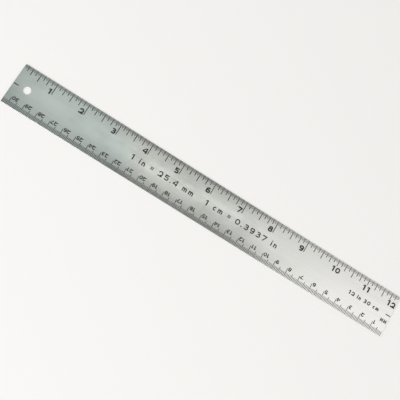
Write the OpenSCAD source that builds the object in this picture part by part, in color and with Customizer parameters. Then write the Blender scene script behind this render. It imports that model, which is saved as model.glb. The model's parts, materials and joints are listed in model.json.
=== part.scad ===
// Flexible steel rule with an inch scale on one long edge and a metric scale on the other.
// +X runs along the blade from the inch zero, +Y points to the inch edge, +Z out of the marked face.
// The origin is under the middle of the blade, on the surface that the rule lies on.

/* [Blade] */
// Length of the blade in inches
blade_inches = 12; // [10:1:18]
// Width of the blade across both scales
blade_w = 31; // [28:0.5:38]
// Thickness of the spring steel
blade_t = 0.5; // [0.4:0.05:1]
// Radius of the four blade corners
corner_r = 0.8; // [0.4:0.1:0.9]
// Size of the broken edge around the blade and the hole
edge_break = 0.06; // [0.04:0.01:0.08]

/* [Hang hole] */
// Diameter of the hang hole
hole_d = 5.5; // [3:0.1:8]
// Distance from the inch zero end to the middle of the hole
hole_inset = 10.6; // [8:0.1:20]

/* [Etching] */
// Depth that the marks are etched into the face
etch_depth = 0.06; // [0.03:0.01:0.12]
// Thickness of the black filling in an etched mark
fill_t = 0.05; // [0.02:0.01:0.1]
// Plain steel left between a graduation and the long edge
edge_land = 0.1; // [0.09:0.01:0.4]

/* [Inch scale] */
// Reach of a 1/32 inch graduation from the edge
thirty_second_reach = 2.15; // [1.2:0.05:2.3]
// Reach of a 1/16 inch graduation from the edge
sixteenth_reach = 2.75; // [2.3:0.05:3]
// Reach of a 1/8 inch graduation from the edge
eighth_reach = 3.75; // [3:0.05:4]
// Reach of a 1/4 inch graduation from the edge
quarter_reach = 5.3; // [4:0.05:5.3]
// Reach of a 1/2 inch graduation from the edge
half_reach = 6.55; // [5.3:0.05:7]
// Reach of a whole inch graduation from the edge
inch_reach = 8.95; // [7:0.05:9.5]
// Line width of the 1/16 and 1/32 inch graduations
fine_inch_line = 0.33; // [0.15:0.01:0.4]
// Line width of the 1/8 inch and longer graduations
bold_inch_line = 0.55; // [0.2:0.01:0.55]

/* [Metric scale] */
// Reach of a millimetre graduation from the edge
mm_reach = 3.3; // [2:0.05:3.5]
// Reach of a 5 mm graduation from the edge
five_mm_reach = 4.55; // [3.5:0.05:4.7]
// Reach of a centimetre graduation from the edge
cm_reach = 6.45; // [4.7:0.05:7]
// Line width of the millimetre graduations
fine_mm_line = 0.4; // [0.15:0.01:0.5]
// Line width of the 5 mm and centimetre graduations
bold_mm_line = 0.46; // [0.2:0.01:0.55]

/* [Numerals] */
// Height of the inch numerals
inch_numeral_h = 4; // [3:0.1:4.5]
// Stroke width of the inch numerals, in tenths of their height
inch_numeral_stroke = 2.6; // [1.8:0.1:2.6]
// Distance from the inch edge to the top of its numerals
inch_numeral_drop = 5.45; // [5.4:0.05:6]
// Height of the centimetre numerals
cm_numeral_h = 2.7; // [2.4:0.1:3.5]
// Stroke width of the centimetre numerals, in tenths of their height
cm_numeral_stroke = 2.4; // [1.8:0.1:2.6]
// Distance from the metric edge to its numerals
cm_numeral_drop = 5.05; // [4.8:0.05:5.5]

/* [Other markings] */
// Height of the figures in the conversion line
conversion_h = 4; // [3:0.1:4.5]
// Stroke width of the conversion line, in tenths of its height
conversion_stroke = 2; // [1.8:0.1:2.6]
// Height of the figures in the scale length note
length_note_h = 2.8; // [2:0.1:3.2]
// Stroke width of the scale length note, in tenths of its height
length_note_stroke = 2.5; // [1.8:0.1:2.5]
// Height of the unit mark of the metric scale
unit_mark_h = 2.5; // [1.5:0.1:2.5]
// Stroke width of the unit mark, in tenths of its height
unit_mark_stroke = 2.8; // [1.8:0.1:2.8]
// Length of the centre line mark at each end
centre_mark_l = 3.8; // [2:0.1:4.4]
// Line width of the centre line marks
centre_mark_line = 0.7; // [0.2:0.05:0.8]

/* [Hidden] */

$fn = 48;
inch = 25.4;
blade_l = blade_inches * inch;
end_clear = 0.7;                // no metric graduation is closer to the far end of the blade
full_cm = floor((blade_l - end_clear) / 10);
fill_z = blade_t - etch_depth;
hole_x = hole_inset - blade_l / 2;
past = 1;                       // how far a cutter runs past the surface that it cuts

// The glyphs are drawn in a box 10 high with strokes $stroke wide, and scaled to their real height.
glyph_h = 10;
figure_w = 8.6;
one_w = 7;                      // the figure 1 is narrower than the others
small_m_w = 8.9;
capital_m_w = 8.6;
small_n_w = 6;
small_c_w = 6.2;
equals_w = 5.8;
space_w = 3.2;
x_height = 6.9;                 // height of the small letters
upper_c = [figure_w / 2, 7.1];  // middle of the upper bowl of 3 and 8
lower_c = [figure_w / 2, 3.22]; // middle of the lower bowl of 3, 5, 6 and 8
upper_r = glyph_h - upper_c.y;
lower_r = lower_c.y;
round_r = figure_w / 2;         // outer radius of the ends of 0 and of the bowl of 2
lower_half = figure_w / 2 - lower_r; // half the flat length of the lower bowl
upper_half = lower_half - 0.2;

inch_tracking = 1.5;            // clear space between two figures, in glyph units
cm_tracking = 0.5;
conversion_tracking = 3.5;
note_tracking = 2.4;
unit_tracking = 2.2;
numeral_gap = 0.8;              // from an inch numeral to its graduation
cm_numeral_gap = 0.5;           // from a centimetre numeral to its graduation
two_figure_reach = 4.85;        // reach of an inch graduation above a two-figure numeral
two_figure_shift = 0.4;         // a two-figure inch numeral sits just past the middle of its graduation
last_numeral_inset = 4.1;       // from the end of the blade to the middle of the last inch numeral
conversion_shift = -0.8;        // the line sits slightly towards the inch zero
note_inset = 22.5;              // from the metric zero end to the middle of the note
unit_inset = 3.5;               // from the metric zero end to the middle of the unit mark
unit_rise = 10.55;              // from the metric edge to the middle of the unit mark
centre_mark_inset = 0.3;        // from the end of the blade to its centre line mark

steel = [0.72, 0.75, 0.74];
black = [0.12, 0.13, 0.13];

// Corners of a bar of the stroke's width from a to b, with square ends.
function bar_points(a, b) =
    let (d = (b - a) / norm(b - a), side = [-d.y, d.x] * $stroke / 2)
    [a + side, a - side, b - side, b + side];

// A wedge from angle a0 to a1 that reaches past radius r, with a point every few degrees less than 90.
function wedge_points(r, a0, a1) =
    concat([[0, 0]], [for (k = [0 : 5]) 2 * r * [cos(a0 + (a1 - a0) * k / 5), sin(a0 + (a1 - a0) * k / 5)]]);

module bar(a, b) {
    polygon(bar_points(a, b));
}

// The part of a ring of outer radius r and the stroke's width from angle a0 to a1.
module arc(centre, r, a0, a1) {
    translate(centre)
        intersection() {
            difference() {
                circle(r);
                circle(r - $stroke);
            }
            polygon(wedge_points(r, a0, a1));
        }
}

// The same with its right and left halves moved apart, each by the length half, and joined by flat lengths.
module wide_arc(centre, r, half, a0, a1) {
    arc(centre + [half, 0], r, max(a0, -90), min(a1, 90));
    if (a1 > 90)
        arc(centre - [half, 0], r, 90, min(a1, 270));
    if (a0 < -90)
        arc(centre - [half, 0], r, max(a0, -270), -90);
    if (a1 > 90)
        translate(centre + [-half, r - $stroke])
            square([2 * half, $stroke]);
    if (a0 < -90 || a1 >= 270)
        translate(centre + [-half, -r])
            square([2 * half, $stroke]);
}

module figure_0() {
    arc([round_r, glyph_h - round_r], round_r, 0, 180);
    arc([round_r, round_r], round_r, 180, 360);
    for (x = [0, figure_w - $stroke])
        translate([x, round_r])
            square([$stroke, glyph_h - 2 * round_r]);
}

module figure_1() {
    flag = 2.2;
    stem_w = 1.1 * $stroke;
    left = (one_w - stem_w + flag) / 2;
    translate([left, 0])
        square([stem_w, glyph_h]);
    polygon([[left, glyph_h], [left - flag, glyph_h - 1.7], [left - flag, glyph_h - 3.6],
        [left, glyph_h - 2.3]]);
}

// The slanting bar runs just inside the bowl, so that their outlines cross and don't only touch.
module figure_2() {
    lean = -50;
    tuck = 0.1;
    start = 0.62;
    centre = [round_r, glyph_h - round_r];
    leaving = centre + (round_r - $stroke / 2 - tuck) * [cos(lean), sin(lean)];
    down = [sin(lean), -cos(lean)];
    arc(centre, round_r, lean - 15, 172);
    bar(leaving - start * down, leaving + (leaving.y - $stroke / 2) / cos(lean) * down);
    square([figure_w, $stroke]);
}

// The middle bar runs a little lower than the lower bowl's top, so that their outlines cross.
module figure_3() {
    tuck = 0.06;
    waist = lower_c.y + lower_r - $stroke / 2 - tuck;
    wide_arc(upper_c, upper_r, upper_half, -90, 152);
    wide_arc(lower_c, lower_r, lower_half, -152, 90);
    bar([upper_c.x - 1.5, waist], [upper_c.x + upper_half + 0.3, waist]);
}

module figure_4() {
    stem = figure_w - $stroke - 0.6;
    foot = 1.9;
    shelf = foot + $stroke;
    peak = stem - 0.5;
    diagonal_w = 2.3;
    opening = (stem - diagonal_w) * (glyph_h - shelf) / peak;
    difference() {
        polygon([[0, foot], [figure_w, foot], [figure_w, shelf], [stem + $stroke, shelf],
            [stem + $stroke, glyph_h], [peak, glyph_h], [0, shelf]]);
        polygon([[diagonal_w, shelf], [stem, shelf], [stem, shelf + opening]]);
    }
    translate([stem, 0])
        square([$stroke, shelf]);
}

module figure_5() {
    shoulder = 4.6;
    left = 0.5;
    swell = 0.15;
    wide_arc(lower_c, lower_r + swell, lower_half - swell, -152, 135);
    translate([left, shoulder])
        square([$stroke, glyph_h - shoulder]);
    translate([left, glyph_h - $stroke])
        square([figure_w - 1.1, $stroke]);
}

// The back stands just inside the left edge of the bowl, so that their outlines cross and don't only touch.
module figure_6() {
    tuck = 0.1;
    foot = lower_c.y + 0.65;
    top_r = round_r - tuck;
    wide_arc(lower_c, lower_r, lower_half, -90, 270);
    arc([round_r, glyph_h - top_r], top_r, 42, 180);
    translate([tuck, foot])
        square([$stroke, glyph_h - top_r - foot]);
}

module figure_7() {
    foot = 1.7;
    leg_w = 1.08 * $stroke;
    under = glyph_h - $stroke;
    polygon([[foot, 0], [foot + leg_w, 0], [figure_w, under], [figure_w, glyph_h], [0, glyph_h],
        [0, under], [figure_w - leg_w, under]]);
}

module figure_8() {
    wide_arc(upper_c, upper_r, upper_half, -90, 270);
    wide_arc(lower_c, lower_r, lower_half, -90, 270);
}

module figure_9() {
    translate([figure_w, glyph_h])
        rotate(180)
            figure_6();
}

module capital_m() {
    middle = capital_m_w / 2;
    right = capital_m_w;
    polygon([[0, 0], [0, glyph_h], [$stroke, glyph_h], [middle, 5.2], [right - $stroke, glyph_h],
        [right, glyph_h], [right, 0], [right - $stroke, 0], [right - $stroke, 6.9], [middle + 0.6, 2.3],
        [middle - 0.6, 2.3], [$stroke, 6.9], [$stroke, 0]]);
}

// A stem at x and the arch that springs from it, as in n and m.
module stem_and_arch(x, r) {
    translate([x, 0])
        square([$stroke, x_height]);
    arc([x + r, x_height - r], r, 0, 180);
    translate([x + 2 * r - $stroke, 0])
        square([$stroke, x_height - r]);
}

module small_i() {
    square([$stroke, x_height]);
    translate([0, glyph_h - $stroke])
        square($stroke);
}

module small_n() {
    stem_and_arch(0, small_n_w / 2);
}

module small_m() {
    arch_r = (small_m_w + $stroke) / 4;
    stem_and_arch(0, arch_r);
    stem_and_arch(2 * arch_r - $stroke, arch_r);
}

module small_c() {
    arc([x_height / 2, x_height / 2], x_height / 2, 48, 312);
}

module equals_sign() {
    for (y = [2.9, 5.6])
        translate([0, y])
            square([equals_w, $stroke * 0.8]);
}

// One character, with its left foot at the origin.
module glyph(c) {
    if (c == "0") figure_0();
    if (c == "1") figure_1();
    if (c == "2") figure_2();
    if (c == "3") figure_3();
    if (c == "4") figure_4();
    if (c == "5") figure_5();
    if (c == "6") figure_6();
    if (c == "7") figure_7();
    if (c == "8") figure_8();
    if (c == "9") figure_9();
    if (c == "i") small_i();
    if (c == "n") small_n();
    if (c == "m") small_m();
    if (c == "c") small_c();
    if (c == "M") capital_m();
    if (c == "=") equals_sign();
    if (c == ".") square($stroke);
}

function glyph_w(c) =
    c == "m" ? small_m_w
    : c == "M" ? capital_m_w
    : c == "n" ? small_n_w
    : c == "c" ? small_c_w
    : c == "=" ? equals_w
    : c == " " ? space_w
    : c == "1" ? one_w
    : c == "i" || c == "." ? $stroke
    : figure_w;

// Where character number n of a row starts, in glyph units from the start of the row.
function start_of(chars, n, tracking) =
    n == 0 ? 0 : start_of(chars, n - 1, tracking) + glyph_w(chars[n - 1]) + tracking;

function row_w(chars, tracking) = start_of(chars, len(chars), tracking) - tracking;

// A row of characters h high, with the middle of the row at the origin and its foot on X.
module row_of_glyphs(chars, h, weight, tracking) {
    $stroke = weight;
    scale(h / glyph_h)
        for (i = [0 : len(chars) - 1])
            if (chars[i] != " ")
                translate([start_of(chars, i, tracking) - row_w(chars, tracking) / 2, 0])
                    glyph(chars[i]);
}

function numeral_w(n, h, tracking) = row_w(str(n), tracking) * h / glyph_h;

// Moves to a place on the inch scale, with +Y still towards the inch edge.
module at_inches(d) {
    translate([d * inch - blade_l / 2, blade_w / 2])
        children();
}

// The metric scale reads from the other side, so it is laid out like the inch scale and turned round.
module at_millimetres(d) {
    rotate(180)
        translate([d - blade_l / 2, blade_w / 2])
            children();
}

// A graduation from the edge land to its reach.
module graduation(reach, line) {
    translate([-line / 2, -reach])
        square([line, reach - edge_land]);
}

// The divisions of the inch into this many parts that no coarser graduation marks.
module inch_divisions(parts, reach, line) {
    for (i = [1 : 2 : parts * blade_inches - 1])
        at_inches(i / parts)
            graduation(reach, line);
}

module whole_inch_shapes() {
    for (n = [1 : blade_inches - 1])
        at_inches(n)
            graduation(n < 10 ? inch_reach : two_figure_reach, bold_inch_line);
}

module inch_numeral_shapes() {
    foot = -inch_numeral_drop - inch_numeral_h;
    for (n = [1 : blade_inches])
        at_inches(n)
            translate([n == blade_inches ? -last_numeral_inset
                : n < 10 ? -numeral_gap - numeral_w(n, inch_numeral_h, inch_tracking) / 2
                : two_figure_shift, foot])
                row_of_glyphs(str(n), inch_numeral_h, inch_numeral_stroke, inch_tracking);
}

module millimetre_shapes() {
    for (i = [1 : blade_l - end_clear])
        if (i % 5 != 0)
            at_millimetres(i)
                graduation(mm_reach, fine_mm_line);
}

module five_millimetre_shapes() {
    for (i = [5 : 10 : blade_l - end_clear])
        at_millimetres(i)
            graduation(five_mm_reach, bold_mm_line);
}

module centimetre_shapes() {
    for (n = [1 : full_cm])
        at_millimetres(10 * n)
            graduation(cm_reach, bold_mm_line);
}

module centimetre_numeral_shapes() {
    foot = -cm_numeral_drop - cm_numeral_h;
    for (n = [1 : full_cm])
        at_millimetres(10 * n)
            translate([-cm_numeral_gap - numeral_w(n, cm_numeral_h, cm_tracking) / 2, foot])
                row_of_glyphs(str(n), cm_numeral_h, cm_numeral_stroke, cm_tracking);
}

module metric_unit_shape() {
    translate([blade_l / 2 - unit_inset, unit_rise - blade_w / 2])
        rotate(180)
            translate([0, -unit_mark_h / 2])
                row_of_glyphs("MM", unit_mark_h, unit_mark_stroke, unit_tracking);
}

module end_centre_shapes() {
    reach = blade_l / 2 - centre_mark_inset;
    for (x = [-reach, reach - centre_mark_l])
        translate([x, -centre_mark_line / 2])
            square([centre_mark_l, centre_mark_line]);
}

module conversion_shapes() {
    translate([conversion_shift, -conversion_h / 2])
        row_of_glyphs("1 in = 25.4 mm   1 cm = 0.3937 in", conversion_h, conversion_stroke,
            conversion_tracking);
}

module length_note_shapes() {
    note = str(blade_inches, " in ", full_cm, " cm");
    translate([blade_l / 2 - note_inset, -length_note_h / 2])
        row_of_glyphs(note, length_note_h, length_note_stroke, note_tracking);
}

// The black filling of a mark, which stops just short of the face.
module filling() {
    color(black)
        translate([0, 0, fill_z])
            linear_extrude(fill_t)
                children();
}

// The recess that a mark is etched into.
module recess() {
    translate([0, 0, fill_z])
        linear_extrude(etch_depth + past)
            children();
}

// The section of a blank w wide, with all four of its corners broken.
function broken_section(w) = [
    [-w / 2, edge_break], [edge_break - w / 2, 0], [w / 2 - edge_break, 0], [w / 2, edge_break],
    [w / 2, blade_t - edge_break], [w / 2 - edge_break, blade_t], [edge_break - w / 2, blade_t],
    [-w / 2, blade_t - edge_break]
];

module blade_outline() {
    square([blade_l - 2 * corner_r, blade_w], center = true);
    square([blade_l, blade_w - 2 * corner_r], center = true);
    for (x = [-1, 1], y = [-1, 1])
        translate([x * (blade_l / 2 - corner_r), y * (blade_w / 2 - corner_r)])
            circle(corner_r);
}

module blade_blank() {
    intersection() {
        linear_extrude(blade_t)
            blade_outline();
        rotate([90, 0, 90])
            linear_extrude(blade_l + 2 * past, center = true)
                polygon(broken_section(blade_w));
        rotate([90, 0, 0])
            linear_extrude(blade_w + 2 * past, center = true)
                polygon(broken_section(blade_l));
    }
}

module hang_hole() {
    flare = edge_break + past;
    translate([hole_x, 0, 0]) {
        translate([0, 0, -past])
            cylinder(d = hole_d, h = blade_t + 2 * past);
        translate([0, 0, -past])
            cylinder(r1 = hole_d / 2 + flare, r2 = hole_d / 2, h = flare);
        translate([0, 0, blade_t - edge_break])
            cylinder(r1 = hole_d / 2, r2 = hole_d / 2 + flare, h = flare);
    }
}

module blade() {
    color(steel)
        difference() {
            blade_blank();
            hang_hole();
            recess() inch_divisions(32, thirty_second_reach, fine_inch_line);
            recess() inch_divisions(16, sixteenth_reach, fine_inch_line);
            recess() inch_divisions(8, eighth_reach, bold_inch_line);
            recess() inch_divisions(4, quarter_reach, bold_inch_line);
            recess() inch_divisions(2, half_reach, bold_inch_line);
            recess() whole_inch_shapes();
            recess() inch_numeral_shapes();
            recess() millimetre_shapes();
            recess() five_millimetre_shapes();
            recess() centimetre_shapes();
            recess() centimetre_numeral_shapes();
            recess() metric_unit_shape();
            recess() end_centre_shapes();
            recess() conversion_shapes();
            recess() length_note_shapes();
        }
}

module inch_thirty_second_marks() {
    filling() inch_divisions(32, thirty_second_reach, fine_inch_line);
}

module inch_sixteenth_marks() {
    filling() inch_divisions(16, sixteenth_reach, fine_inch_line);
}

module inch_eighth_marks() {
    filling() inch_divisions(8, eighth_reach, bold_inch_line);
}

module inch_quarter_marks() {
    filling() inch_divisions(4, quarter_reach, bold_inch_line);
}

module inch_half_marks() {
    filling() inch_divisions(2, half_reach, bold_inch_line);
}

module whole_inch_marks() {
    filling() whole_inch_shapes();
}

module inch_numerals() {
    filling() inch_numeral_shapes();
}

module millimetre_marks() {
    filling() millimetre_shapes();
}

module five_millimetre_marks() {
    filling() five_millimetre_shapes();
}

module centimetre_marks() {
    filling() centimetre_shapes();
}

module centimetre_numerals() {
    filling() centimetre_numeral_shapes();
}

module metric_unit_mark() {
    filling() metric_unit_shape();
}

module end_centre_marks() {
    filling() end_centre_shapes();
}

module conversion_line() {
    filling() conversion_shapes();
}

module scale_length_note() {
    filling() length_note_shapes();
}

blade();
inch_thirty_second_marks();
inch_sixteenth_marks();
inch_eighth_marks();
inch_quarter_marks();
inch_half_marks();
whole_inch_marks();
inch_numerals();
millimetre_marks();
five_millimetre_marks();
centimetre_marks();
centimetre_numerals();
metric_unit_mark();
end_centre_marks();
conversion_line();
scale_length_note();
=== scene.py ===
import json
import math

import bmesh
import bpy
from mathutils import Matrix, Vector
from mathutils.geometry import delaunay_2d_cdt


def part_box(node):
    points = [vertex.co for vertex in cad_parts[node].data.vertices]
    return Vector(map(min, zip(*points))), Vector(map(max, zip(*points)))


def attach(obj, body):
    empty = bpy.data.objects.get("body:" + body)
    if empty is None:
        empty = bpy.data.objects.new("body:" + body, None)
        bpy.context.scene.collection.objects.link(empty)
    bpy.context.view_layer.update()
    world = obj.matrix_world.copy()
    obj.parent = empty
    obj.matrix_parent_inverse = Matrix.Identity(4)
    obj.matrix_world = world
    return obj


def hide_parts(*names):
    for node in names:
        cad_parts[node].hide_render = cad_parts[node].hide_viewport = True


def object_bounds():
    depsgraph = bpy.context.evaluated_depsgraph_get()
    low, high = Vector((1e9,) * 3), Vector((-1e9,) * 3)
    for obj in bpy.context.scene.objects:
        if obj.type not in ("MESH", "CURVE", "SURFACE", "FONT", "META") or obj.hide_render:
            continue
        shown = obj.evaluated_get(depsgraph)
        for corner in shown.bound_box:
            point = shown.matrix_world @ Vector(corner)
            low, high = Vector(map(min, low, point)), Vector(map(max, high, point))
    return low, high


# A steel rule with etched, black-filled scales, lying face up on a pale floor.
# Lengths are in metres, in the CAD frame: +X along the blade away from the inch zero, +Y towards the
# inch edge, +Z out of the marked face.
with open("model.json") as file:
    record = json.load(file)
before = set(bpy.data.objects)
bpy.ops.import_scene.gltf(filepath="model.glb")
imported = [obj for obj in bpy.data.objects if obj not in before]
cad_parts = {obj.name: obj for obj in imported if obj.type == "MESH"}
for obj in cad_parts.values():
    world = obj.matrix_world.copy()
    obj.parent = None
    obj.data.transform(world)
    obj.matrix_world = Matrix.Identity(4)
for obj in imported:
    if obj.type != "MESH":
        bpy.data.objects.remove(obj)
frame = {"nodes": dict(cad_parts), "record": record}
cad_low, cad_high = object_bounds()

MM = 0.001
QUARTERS = ((1, 1), (-1, 1), (-1, -1), (1, -1))     # the signs of X and Y, anticlockwise

# Blade
CORNER_R = 0.8 * MM
CORNER_STEPS = 10
EDGE_ROUND = 0.08 * MM          # the rubbed-down edge around the blade and the hole
EDGE_STEPS = 6
HOLE_STEPS = 96

# Etched marks
ARC_STEPS = 3                   # how many parts each straight piece of a CAD arc is split into
ARC_TURN = math.radians(25)     # a sharper turn than this is a corner, not part of an arc
STRAIGHT_TURN = 1e-3            # a smaller turn than this, in radians, is none
CHORD_SPREAD = 0.02             # how much two chords of one arc may differ, as a share of their length
ETCH_ROUND = 0.05 * MM          # the acid rounds the corners of a mark
ETCH_STEPS = 3
CORNER_SHARE = 0.45             # a round corner takes at most this share of each side beside it
SAME_POINT = 1e-7               # points closer than this are one
SAME_LEVEL = 1e-6               # heights closer than this are one
POINT_DIGITS = 7                # decimal places, in metres, that tell the CAD's points apart

BLADE = "blade"
FILLINGS = sorted(n for n in frame["nodes"] if n != BLADE)
HANG_HOLE = next(m for m in frame["record"]["mounts"] if m["name"] == "hang_hole")


# ---------------------------------------------------------------- outlines

def top_triangles(node):
    """The triangles of a CAD node's top face, each as three points in the plane."""
    mesh = frame["nodes"][node].data
    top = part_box(node)[1].z
    for face in mesh.polygons:
        corners = [mesh.vertices[i].co for i in face.vertices]
        if all(abs(c.z - top) < SAME_LEVEL for c in corners):
            yield [(round(c.x, POINT_DIGITS), round(c.y, POINT_DIGITS)) for c in corners]


def outline_loops(node):
    """The closed outlines of a CAD node's top face: outer ones anticlockwise, inner ones clockwise."""
    edges = {edge for t in top_triangles(node) for edge in zip(t, t[1:] + t[:1])}
    following = {a: b for a, b in edges if (b, a) not in edges}
    loops = []
    while following:
        start, point = min(following.items())
        loop = [start]
        del following[start]
        while point != start:
            loop.append(point)
            point = following.pop(point)
        loops.append([Vector(p) for p in loop])
    return loops


def turn_at(loop, i):
    """How far the outline turns at point i, in radians, positive to the left."""
    before = loop[i] - loop[i - 1]
    after = loop[(i + 1) % len(loop)] - loop[i]
    return math.atan2(before.x * after.y - before.y * after.x, before.dot(after))


def arc_angle(loop, i):
    """The angle of the arc that the side after point i is a chord of, or 0 if that side is straight."""
    count = len(loop)
    length = (loop[(i + 1) % count] - loop[i]).length
    for joint, beside in ((i, i - 1), ((i + 1) % count, i + 1)):
        turn = turn_at(loop, joint)
        other = (loop[(beside + 1) % count] - loop[beside % count]).length
        if abs(turn) < ARC_TURN and abs(other - length) < CHORD_SPREAD * length:
            return turn
    return 0.0


def with_fine_arcs(loop):
    """The outline with each chord of a CAD arc split into shorter ones on the same circle."""
    fine = []
    for i, start in enumerate(loop):
        fine.append(start)
        angle = arc_angle(loop, i)
        if abs(angle) < STRAIGHT_TURN:
            continue
        chord = loop[(i + 1) % len(loop)] - start
        outward = Vector((chord.y, -chord.x))
        for k in range(1, ARC_STEPS):
            t = k / ARC_STEPS
            rise = (math.cos((t - 0.5) * angle) - math.cos(angle / 2)) / (2 * math.sin(angle / 2))
            along = 0.5 + math.sin((t - 0.5) * angle) / (2 * math.sin(angle / 2))
            fine.append(start + chord * along + outward * rise)
    return fine


def with_round_corners(loop):
    """The outline with its corners rounded as etching leaves them."""
    soft = []
    for i, corner in enumerate(loop):
        turn = turn_at(loop, i)
        if abs(turn) < ARC_TURN:
            soft.append(corner)
            continue
        back = loop[i - 1] - corner
        ahead = loop[(i + 1) % len(loop)] - corner
        reach = min(ETCH_ROUND, CORNER_SHARE * back.length, CORNER_SHARE * ahead.length)
        a = corner + back.normalized() * reach
        b = corner + ahead.normalized() * reach
        for k in range(ETCH_STEPS + 1):
            t = k / ETCH_STEPS
            soft.append(a * (1 - t) ** 2 + corner * 2 * t * (1 - t) + b * t * t)
    return soft


def rounded_rectangle(inset):
    """The blade's outline, this far inside its edge."""
    radius = CORNER_R - inset
    half = Vector((cad_high.x - CORNER_R, cad_high.y - CORNER_R))
    loop = []
    for quarter, (sx, sy) in enumerate(QUARTERS):
        for k in range(CORNER_STEPS + 1):
            a = math.pi / 2 * (quarter + k / CORNER_STEPS)
            loop.append(Vector((sx * half.x + radius * math.cos(a), sy * half.y + radius * math.sin(a))))
    return loop


def hole_circle(inset):
    """The hang hole's outline, this far outside its edge, which is inside the steel."""
    radius = HANG_HOLE["dims"]["r_mm"] * MM + inset
    centre = Vector(HANG_HOLE["pos_m"][:2])
    turns = [2 * math.pi * k / HOLE_STEPS for k in range(HOLE_STEPS)]
    return [centre + radius * Vector((math.cos(a), math.sin(a))) for a in turns]


# ---------------------------------------------------------------- meshes

def triangulate(loops):
    """Points, and triangles as (three indices, whether an odd number of outlines is around them)."""
    points = [p for loop in loops for p in loop]
    sides = []
    for loop in loops:
        first = len(sides)
        sides += [(first + i, first + (i + 1) % len(loop)) for i in range(len(loop))]
    made = delaunay_2d_cdt(points, sides, [], 0, SAME_POINT)
    made_faces, made_from = made[2], made[3]
    faces = [[made_from[i][0] for i in face] for face in made_faces]
    outline = {frozenset(side) for side in sides}
    beside = {}
    for number, face in enumerate(faces):
        for side in zip(face, face[1:] + face[:1]):
            beside.setdefault(frozenset(side), []).append(number)
    inside = {}
    waiting = [(found[0], side in outline) for side, found in beside.items() if len(found) == 1]
    while waiting:
        number, odd = waiting.pop()
        if number in inside:
            continue
        inside[number] = odd
        face = faces[number]
        for side in map(frozenset, zip(face, face[1:] + face[:1])):
            for other in beside[side]:
                if other not in inside:
                    waiting.append((other, odd != (side in outline)))
    return points, [(face, inside[number]) for number, face in enumerate(faces)]


class Solid:
    """Collects points and faces, and turns them into a closed mesh object."""

    def __init__(self):
        self.points = []
        self.faces = []
        self.smooth = []

    def layer(self, points, z):
        """Adds flat points at a height, and returns the number of the first."""
        first = len(self.points)
        self.points += [(p.x, p.y, z) for p in points]
        return first

    def add(self, faces, smooth=False):
        self.faces += faces
        self.smooth += [smooth] * len(faces)

    def band(self, lower, upper, count, smooth=True):
        """A closed strip of faces between two rings that start at these points."""
        ring = [(i, (i + 1) % count) for i in range(count)]
        self.add([(lower + i, lower + j, upper + j, upper + i) for i, j in ring], smooth)

    def build(self, name, material):
        """The object, with no doubled or loose points, and its faces turned outwards."""
        mesh = bpy.data.meshes.new(name)
        mesh.from_pydata(self.points, [], self.faces)
        mesh.polygons.foreach_set("use_smooth", self.smooth)
        shaped = bmesh.new()
        shaped.from_mesh(mesh)
        bmesh.ops.remove_doubles(shaped, verts=shaped.verts, dist=SAME_POINT)
        bmesh.ops.delete(shaped, geom=[v for v in shaped.verts if not v.link_faces], context="VERTS")
        bmesh.ops.recalc_face_normals(shaped, faces=shaped.faces)
        shaped.to_mesh(mesh)
        shaped.free()
        mesh.materials.append(material)
        piece = bpy.data.objects.new(name, mesh)
        bpy.context.scene.collection.objects.link(piece)
        return piece


def rubbed_edge(solid, outline, top, thickness):
    """The rounded edge from the top face round to the bottom face."""
    levels = []
    for k in range(EDGE_STEPS + 1):
        a = math.pi / 2 * k / EDGE_STEPS
        levels.append((EDGE_ROUND * (1 - math.sin(a)), EDGE_ROUND * (1 - math.cos(a))))
    levels += [(inset, thickness - drop) for inset, drop in reversed(levels)]
    rings = [solid.layer(outline(inset), top - drop) for inset, drop in levels]
    count = len(outline(0))
    for upper, lower in zip(rings, rings[1:]):
        solid.band(lower, upper, count)


def add_walls(solid, loops, lower, upper):
    """The upright faces under each outline, between two layers of the same points."""
    for loop in loops:
        solid.band(lower, upper, len(loop), smooth=False)
        lower += len(loop)
        upper += len(loop)


def blade_piece(marks, material):
    """The blade, with a recess under every mark, a rounded edge and a rounded hang hole."""
    top, bottom = cad_high.z, cad_low.z
    recess_floor = min(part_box(node)[0].z for node in FILLINGS)
    loops = [loop for node in FILLINGS for loop in marks[node]]
    rims = [rounded_rectangle(EDGE_ROUND), hole_circle(EDGE_ROUND)]
    rim_count = sum(map(len, rims))
    solid = Solid()

    points, triangles = triangulate(rims + loops)
    face = solid.layer(points, top)
    recess = solid.layer(points[rim_count:], recess_floor) - rim_count
    hole = range(len(rims[0]), rim_count)
    for corners, steel in triangles:
        if steel:
            solid.add([[face + i for i in corners]])
        elif not all(i in hole for i in corners):
            solid.add([[recess + i for i in corners]])
    add_walls(solid, loops, recess + rim_count, face + rim_count)

    points, triangles = triangulate(rims)
    back = solid.layer(points, bottom)
    solid.add([[back + i for i in corners] for corners, steel in triangles if steel])

    rubbed_edge(solid, rounded_rectangle, top, top - bottom)
    rubbed_edge(solid, hole_circle, top, top - bottom)
    return solid.build("blade_steel", material)


def filling_piece(node, loops, material):
    """The black filling of the marks of one node."""
    low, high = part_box(node)
    solid = Solid()
    points, triangles = triangulate(loops)
    lower = solid.layer(points, low.z)
    upper = solid.layer(points, high.z)
    for level in (lower, upper):
        solid.add([[level + i for i in corners] for corners, filled in triangles if filled])
    add_walls(solid, loops, lower, upper)
    return solid.build(node + "_enamel", material)


# ---------------------------------------------------------------- materials

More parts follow.
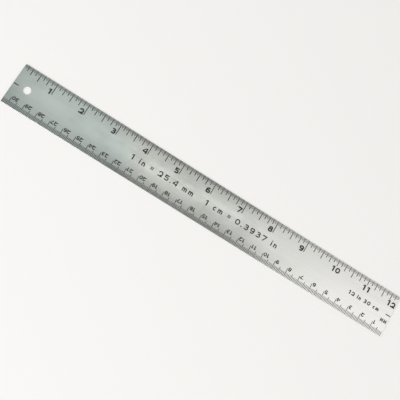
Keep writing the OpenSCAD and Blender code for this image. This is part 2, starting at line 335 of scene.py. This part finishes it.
class Nodes:
    """A short way to write a material's nodes."""

    def __init__(self, tree):
        self.tree = tree
        tree.nodes.clear()

    def new(self, kind, inputs=(), **settings):
        node = self.tree.nodes.new(kind)
        for key, value in settings.items():
            setattr(node, key, value)
        for key, value in dict(inputs).items():
            self.plug(node.inputs[key], value)
        return node

    def plug(self, socket, value):
        if isinstance(value, bpy.types.NodeSocket):
            self.tree.links.new(value, socket)
        else:
            socket.default_value = value

    def math(self, operation, a, b=0.0, clamp=False):
        return self.new("ShaderNodeMath", {0: a, 1: b}, operation=operation, use_clamp=clamp).outputs[0]

    def ramp(self, value, low, high, at_low, at_high):
        """Goes smoothly from one number to another while value goes from low to high."""
        inputs = {"Value": value, "From Min": low, "From Max": high, "To Min": at_low, "To Max": at_high}
        return self.new("ShaderNodeMapRange", inputs, interpolation_type="SMOOTHSTEP").outputs[0]

    def noise(self, place, per_metre, detail=2.0, roughness=0.5):
        """Noise with this many features to the metre along X, Y and Z."""
        scaled = self.new("ShaderNodeVectorMath", {0: place, 1: per_metre}, operation="MULTIPLY").outputs[0]
        inputs = {"Vector": scaled, "Scale": 1.0, "Detail": detail, "Roughness": roughness}
        return self.new("ShaderNodeTexNoise", inputs).outputs["Fac"]

    def mix(self, factor, a, b):
        """A number that goes from a to b while factor goes from 0 to 1."""
        return self.new("ShaderNodeMix", {0: factor, 2: a, 3: b}, data_type="FLOAT").outputs[0]

    def mix_colour(self, factor, a, b):
        """The same for colours, which have sockets of their own on this node."""
        return self.new("ShaderNodeMix", {0: factor, 6: a, 7: b}, data_type="RGBA").outputs[2]


def base_colour(slot):
    """The colour that the record gives to a material slot."""
    found = next(m for m in frame["record"]["materials"] if m["slot"] == slot)
    return (*found["base_color"], 1.0)


def shaded(colour, factor):
    """The colour made this many times as bright."""
    return (*[c * factor for c in colour[:3]], 1.0)


NOISE_SPAN = (0.3, 0.7)         # nearly all values of a noise are between these

# The patterns in the steel, as features to the metre along X, Y and Z. Those with few along X make lines
# along the blade.
GRAIN = (55, 9000, 9000)
STREAKS = (9, 900, 900)
HANDLING = (45, 60, 60)
SCRATCHES = (28, 1500, 1500)
# Where each one shows: the pattern's values where it starts and where it is full
HANDLING_SHOWS = (0.52, 0.75)
HANDLING_ROUGHENS = (0.4, 0.7)
SCRATCHES_SHOW = (0.735, 0.775)
POLISH_SHOWS = (0.45 * MM, 0.05 * MM)       # the distances from a long edge, for the polish
# How bright each one is, as a share of the base colour, and how strongly it covers what is below
GRAIN_SHADES = (0.94, 1.06)
HANDLING_SHADE, HANDLING_COVER = 0.9, 0.35
SCRATCH_SHADE, SCRATCH_COVER = 1.2, 0.5
POLISH_SHADE, POLISH_COVER = 1.12, 0.6
# The steel's roughness, and what each one adds to it
STEEL_ROUGHNESS = 0.10
STREAK_ROUGHNESS = 0.015
HANDLING_ROUGHNESS = 0.03
POLISH_ROUGHNESS = -0.03
STEEL_ANISOTROPY = 0.3
GRAIN_DEPTH, GRAIN_STRENGTH = 0.002 * MM, 0.25
SCRATCH_DEPTH = 0.6             # as a share of the grain's depth


def steel_material():
    """Satin spring steel: fine grain along the blade, faint streaks, handling marks and polished edges."""
    material = bpy.data.materials.new("satin_spring_steel")
    material.use_nodes = True
    nodes = Nodes(material.node_tree)
    place = nodes.new("ShaderNodeTexCoord").outputs["Object"]
    split = nodes.new("ShaderNodeSeparateXYZ", {0: place})

    grain = nodes.noise(place, GRAIN, detail=3.0, roughness=0.6)
    streaks = nodes.noise(place, STREAKS, detail=3.0, roughness=0.55)
    handling = nodes.noise(place, HANDLING, detail=4.0, roughness=0.6)
    scratches = nodes.ramp(nodes.noise(place, SCRATCHES, detail=1.0), *SCRATCHES_SHOW, 0.0, 1.0)
    across = nodes.math("ABSOLUTE", split.outputs["Y"])
    polish = nodes.ramp(across, *[cad_high.y - inset for inset in POLISH_SHOWS], 0.0, 1.0)

    steel = base_colour("spring_steel")
    tone = nodes.math("ADD", nodes.math("MULTIPLY", streaks, 0.5), nodes.math("MULTIPLY", grain, 0.5))
    colour = nodes.mix_colour(
        nodes.ramp(tone, *NOISE_SPAN, 0.0, 1.0), *[shaded(steel, shade) for shade in GRAIN_SHADES])
    covers = (
        (nodes.ramp(handling, *HANDLING_SHOWS, 0.0, HANDLING_COVER), HANDLING_SHADE),
        (nodes.math("MULTIPLY", scratches, SCRATCH_COVER), SCRATCH_SHADE),
        (nodes.math("MULTIPLY", polish, POLISH_COVER), POLISH_SHADE),
    )
    for cover, shade in covers:
        colour = nodes.mix_colour(cover, colour, shaded(steel, shade))

    roughness = nodes.math(
        "ADD",
        nodes.ramp(streaks, *NOISE_SPAN, -STREAK_ROUGHNESS, STREAK_ROUGHNESS),
        nodes.ramp(handling, *HANDLING_ROUGHENS, 0.0, HANDLING_ROUGHNESS))
    roughness = nodes.math("ADD", roughness, nodes.math("MULTIPLY", polish, POLISH_ROUGHNESS))
    roughness = nodes.math("ADD", roughness, STEEL_ROUGHNESS, clamp=True)

    relief = nodes.math("SUBTRACT", grain, nodes.math("MULTIPLY", scratches, SCRATCH_DEPTH))
    bump = nodes.new("ShaderNodeBump", {
        "Strength": GRAIN_STRENGTH,
        "Distance": GRAIN_DEPTH,
        "Height": relief,
    })
    tangent = nodes.new("ShaderNodeTangent", direction_type="UV_MAP", uv_map="grain")
    shader = nodes.new("ShaderNodeBsdfPrincipled", {
        "Base Color": colour,
        "Metallic": 1.0,
        "Roughness": roughness,
        "Anisotropic": STEEL_ANISOTROPY,
        "Normal": bump.outputs[0],
        "Tangent": tangent.outputs[0],
    })
    nodes.new("ShaderNodeOutputMaterial", {"Surface": shader.outputs[0]})
    return material


# The patterns in the enamel, again as features to the metre
PATCHES = (120, 120, 120)
SPECKS = (5200, 5200, 5200)
PATCH_SHOWS = (0.35, 0.7)
SPECK_SHOWS = (0.7, 0.78)
PATCH_SHADES = (0.8, 1.5)
SPECK_COLOUR, SPECK_COVER = (0.16, 0.16, 0.155, 1.0), 0.7
ENAMEL_ROUGHNESS = (0.42, 0.58)
SPECK_DEPTH, SPECK_STRENGTH = 0.004 * MM, 0.3


def enamel_material():
    """Semi-matt black enamel, a little uneven, with tiny worn specks."""
    material = bpy.data.materials.new("black_enamel")
    material.use_nodes = True
    nodes = Nodes(material.node_tree)
    place = nodes.new("ShaderNodeTexCoord").outputs["Object"]
    patches = nodes.noise(place, PATCHES, detail=3.0)
    specks = nodes.noise(place, SPECKS, detail=1.0)
    black = base_colour("black_filling")
    colour = nodes.mix_colour(
        nodes.ramp(patches, *PATCH_SHOWS, 0.0, 1.0), *[shaded(black, shade) for shade in PATCH_SHADES])
    colour = nodes.mix_colour(nodes.ramp(specks, *SPECK_SHOWS, 0.0, SPECK_COVER), colour, SPECK_COLOUR)
    bump = nodes.new("ShaderNodeBump", {
        "Strength": SPECK_STRENGTH,
        "Distance": SPECK_DEPTH,
        "Height": specks,
    })
    shader = nodes.new("ShaderNodeBsdfPrincipled", {
        "Base Color": colour,
        "Roughness": nodes.ramp(patches, *NOISE_SPAN, *ENAMEL_ROUGHNESS),
        "Specular IOR Level": 0.3,
        "Normal": bump.outputs[0],
    })
    nodes.new("ShaderNodeOutputMaterial", {"Surface": shader.outputs[0]})
    return material


def add_grain_map(piece):
    """A map whose U runs across the blade, so that highlights spread across the grain."""
    layer = piece.data.uv_layers.new(name="grain")
    mesh = piece.data
    for loop in mesh.loops:
        place = mesh.vertices[loop.vertex_index].co
        layer.data[loop.index].uv = (place.y / cad_high.x, place.x / cad_high.x)


# ---------------------------------------------------------------- the object

def make_rule():
    """The blade and the filling of every mark, in place of the CAD nodes, all on the one body."""
    marks = {}
    for node in FILLINGS:
        marks[node] = [with_round_corners(with_fine_arcs(loop)) for loop in outline_loops(node)]
    blade = blade_piece(marks, steel_material())
    add_grain_map(blade)
    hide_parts(BLADE)
    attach(blade, "root")
    enamel = enamel_material()
    for node in FILLINGS:
        piece = filling_piece(node, marks[node], enamel)
        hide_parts(node)
        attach(piece, "root")


# ---------------------------------------------------------------- studio

FLOOR_COLOUR = (0.86, 0.86, 0.86, 1.0)
FLOOR_HALF = 6.0
FLOOR_DROP = 0.03 * MM          # keeps the floor clear of the blade's back


def pale_floor():
    """A matt floor that the rule lies on."""
    material = bpy.data.materials.new("pale_floor")
    material.use_nodes = True
    nodes = Nodes(material.node_tree)
    shader = nodes.new("ShaderNodeBsdfPrincipled", {
        "Base Color": FLOOR_COLOUR,
        "Roughness": 0.9,
        "Specular IOR Level": 0.1,
    })
    nodes.new("ShaderNodeOutputMaterial", {"Surface": shader.outputs[0]})
    mesh = bpy.data.meshes.new("floor")
    corners = [(sx * FLOOR_HALF, sy * FLOOR_HALF, -FLOOR_DROP) for sx, sy in QUARTERS]
    mesh.from_pydata(corners, [], [(0, 1, 2, 3)])
    mesh.materials.append(material)
    floor = bpy.data.objects.new("floor", mesh)
    bpy.context.scene.collection.objects.link(floor)


# The tent is described by sky directions: the X, Y and Z of the unit vector towards a place on it.
# Its colour where the direction has this X, from the left to the right.
TENT = (
    (-0.10, (0.93, 0.92, 0.86)),
    (0.06, (0.87, 0.855, 0.80)),
    (0.14, (0.95, 0.92, 0.88)),
    (0.30, (1.15, 1.09, 1.06)),
    (0.40, (1.21, 1.14, 1.12)),
)
BLACK = (0.0, 0.0, 0.0, 1.0)
COOL_SIDE = (0.69, 0.74, 0.71, 1.0)
COOL_TIP = (-0.081, 0.180)      # sky X and Y of the tip of the cool side
COOL_TIP_R = 0.008              # how round the tip is
COOL_LEAN = 1.7                 # how far the edge leans back beyond the tip, as sky X for each sky Y
COOL_BLUR = 0.0015              # half the width of the soft edge
LEFT_END = (-0.30, -0.262)      # sky X over which the cool side comes up from its darker end
LEFT_DIM = 0.7                  # that end, as a share of the rest

# A long strip light in the top of the tent, along X, with dimmer cloth on both sides of it.
STRIP_Y = 0.183                 # sky Y of the middle of the strip
STRIP_HALF = 0.018              # half its width
STRIP_BLUR = 0.008              # half the width of its soft edges
SIDE_MIDDLE = 0.25              # the cloth beside the strip, as a share of the strip
SIDE_LEFT = 0.60                # the same, at the left end
LEFT_FADE = (-0.20, -0.08)      # sky X over which the cloth goes from the left share to the middle share
RIGHT_FADE = (0.12, 0.24)       # sky X over which the strip and the cloth become alike
SIDE_END = (0.10, 0.16)         # how far from the strip, in sky Y, the dimmer cloth ends
SEEN_IN_STRIP = 0.55            # share of the satin steel's reflection that falls within the strip
RIGHT_TILT = 0.2                # on the right, the light gets stronger towards the front
TILT_Y = (0.10, 0.26)           # sky Y over which it goes from strong to weak

WALL_DIM = 0.8                  # the tent's walls, as a share of its top
WALL_DIM_Z = (0.55, 0.92)       # sky Z over which the walls go over into the top
WALL_COLOUR = (0.93, 0.93, 0.92, 1.0)
PLAIN_Z = (0.35, 0.75)          # below this sky Z the tent is plain


def tent_light(nodes, x, y):
    """The tent's colour: brighter to the right, and cooler to the left of an edge that leans back."""
    low, high = TENT[0][0], TENT[-1][0]
    along = nodes.new("ShaderNodeMapRange", {"Value": x, "From Min": low, "From Max": high}).outputs[0]
    tent = nodes.new("ShaderNodeValToRGB", {0: along})
    stops = tent.color_ramp.elements
    while len(stops) < len(TENT):
        stops.new(0.5)          # the next loop puts it in its place
    for stop, (place, colour) in zip(stops, TENT):
        stop.position = (place - low) / (high - low)
        stop.color = (*colour, 1.0)
    aside = nodes.math("MULTIPLY", nodes.math("SUBTRACT", y, COOL_TIP[1]), COOL_LEAN)
    rounded = nodes.math("SQRT", nodes.math("ADD", nodes.math("POWER", aside, 2.0), COOL_TIP_R ** 2))
    lean = nodes.math("MULTIPLY", nodes.math("ADD", aside, rounded), 0.5)
    past_tip = nodes.math("SUBTRACT", nodes.math("ADD", x, lean), COOL_TIP[0] + COOL_TIP_R / 2)
    cool = nodes.ramp(past_tip, -COOL_BLUR, COOL_BLUR, 1.0, 0.0)
    cool_side = nodes.mix_colour(nodes.ramp(x, *LEFT_END, LEFT_DIM, 1.0), BLACK, COOL_SIDE)
    return nodes.mix_colour(cool, tent.outputs[0], cool_side)


def strip_light(nodes, x, y):
    """How strong the tent is with its strip light, as a share of its strength without."""
    off_strip = nodes.math("ABSOLUTE", nodes.math("SUBTRACT", y, STRIP_Y))
    in_strip = nodes.ramp(off_strip, STRIP_HALF - STRIP_BLUR, STRIP_HALF + STRIP_BLUR, 1.0, 0.0)
    to_right = nodes.ramp(x, *RIGHT_FADE, 0.0, 1.0)
    side = nodes.mix(to_right, nodes.ramp(x, *LEFT_FADE, SIDE_LEFT, SIDE_MIDDLE), 1.0)
    level = nodes.math("DIVIDE", nodes.mix(in_strip, side, 1.0), nodes.mix(SEEN_IN_STRIP, side, 1.0))
    tilt = nodes.mix(to_right, 1.0, nodes.ramp(y, *TILT_Y, 1.0 + RIGHT_TILT, 1.0 - RIGHT_TILT))
    past_side = nodes.ramp(off_strip, *SIDE_END, 0.0, 1.0)
    return nodes.mix(past_side, nodes.math("MULTIPLY", level, tilt), 1.0)


def studio_dome():
    """A soft tent with a strip light in its top and plain walls."""
    world = bpy.data.worlds.new("studio")
    world.use_nodes = True
    nodes = Nodes(world.node_tree)
    direction = nodes.new("ShaderNodeTexCoord").outputs["Generated"]
    split = nodes.new("ShaderNodeSeparateXYZ", {0: direction})
    x, y, z = [split.outputs[axis] for axis in "XYZ"]
    plain = nodes.ramp(z, *PLAIN_Z, 1.0, 0.0)
    colour = nodes.mix_colour(plain, tent_light(nodes, x, y), WALL_COLOUR)
    strip = nodes.mix(plain, strip_light(nodes, x, y), 1.0)
    strength = nodes.math("MULTIPLY", strip, nodes.ramp(z, *WALL_DIM_Z, WALL_DIM, 1.0))
    background = nodes.new("ShaderNodeBackground", {"Color": colour, "Strength": strength})
    nodes.new("ShaderNodeOutputWorld", {"Surface": background.outputs[0]})
    bpy.context.scene.world = world


KEY_PLACE = Vector((-0.9, -1.3, 1.2))
KEY_SIZE = 1.0
KEY_POWER = 19                  # watts


def key_light():
    """A square softbox that faces the middle of the object."""
    light = bpy.data.lights.new("key", "AREA")
    light.size = KEY_SIZE
    light.energy = KEY_POWER
    lamp = bpy.data.objects.new("key", light)
    lamp.location = KEY_PLACE
    lamp.rotation_mode = "QUATERNION"
    lamp.rotation_quaternion = KEY_PLACE.to_track_quat("Z", "Y")
    bpy.context.scene.collection.objects.link(lamp)


VIEW_AIM = Vector((-3.83 * MM, -0.93 * MM, cad_high.z))
VIEW_DISTANCE = 418.2 * MM
VIEW_AZIMUTH = math.radians(-15.785)
VIEW_ELEVATION = math.radians(79.35)
VIEW_ROLL = math.radians(47.444)
LENS, SENSOR = 55, 36           # in millimetres, as Blender wants them
NEAR, FAR = 0.01, 50


def camera():
    """Looks steeply down on the rule, rolled so that it runs from the top left to the bottom right."""
    sideways = math.cos(VIEW_ELEVATION)
    back = Vector((
        math.sin(VIEW_AZIMUTH) * sideways, -math.cos(VIEW_AZIMUTH) * sideways, math.sin(VIEW_ELEVATION)))
    level = Vector((0, 0, 1)).cross(back).normalized()
    upright = back.cross(level)
    right = level * math.cos(VIEW_ROLL) + upright * math.sin(VIEW_ROLL)
    up = back.cross(right)
    turn = Matrix((right, up, back)).transposed().to_4x4()
    data = bpy.data.cameras.new("camera")
    data.lens, data.sensor_width = LENS, SENSOR
    data.clip_start, data.clip_end = NEAR, FAR
    eye = bpy.data.objects.new("camera", data)
    eye.matrix_world = Matrix.Translation(VIEW_AIM + back * VIEW_DISTANCE) @ turn
    bpy.context.scene.collection.objects.link(eye)
    bpy.context.scene.camera = eye


make_rule()
pale_floor()
studio_dome()
key_light()
camera()
bpy.context.scene.view_settings.view_transform = "Standard"
